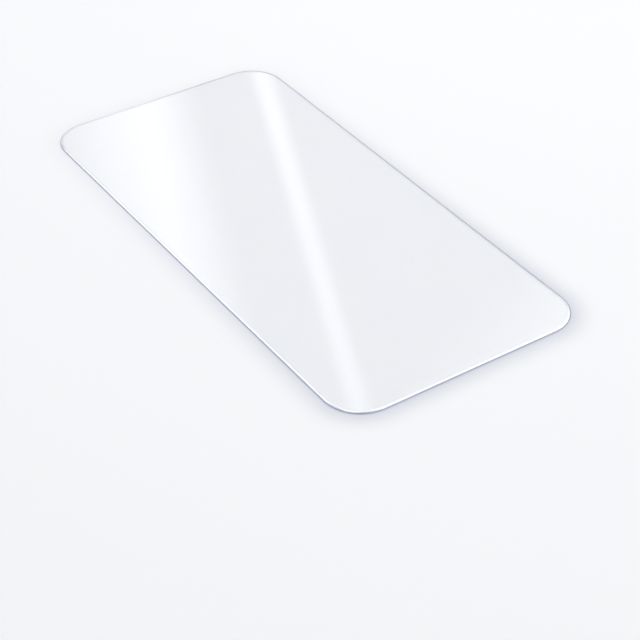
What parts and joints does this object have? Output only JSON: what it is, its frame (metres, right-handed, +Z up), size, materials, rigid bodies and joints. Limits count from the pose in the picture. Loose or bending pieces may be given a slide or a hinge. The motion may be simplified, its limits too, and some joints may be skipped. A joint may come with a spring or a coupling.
{
  "type": "phone screen protector",
  "caption": "Thin sheet of clear glass with rounded corners and a polished curved edge, laid on a phone's screen to keep it from scratches and knocks.",
  "frame": {"origin": "middle of the underside, the face that sticks to the screen", "axes": "+Z up out of the screen towards the user, +Y along the sheet's length, +X across its width"},
  "size_m": [0.07, 0.146, 0.0004],
  "materials": {
    "clear_glass": "polished"
  },
  "bodies": {
    "root": {"glass_sheet": "clear_glass"}
  },
  "joints": []
}
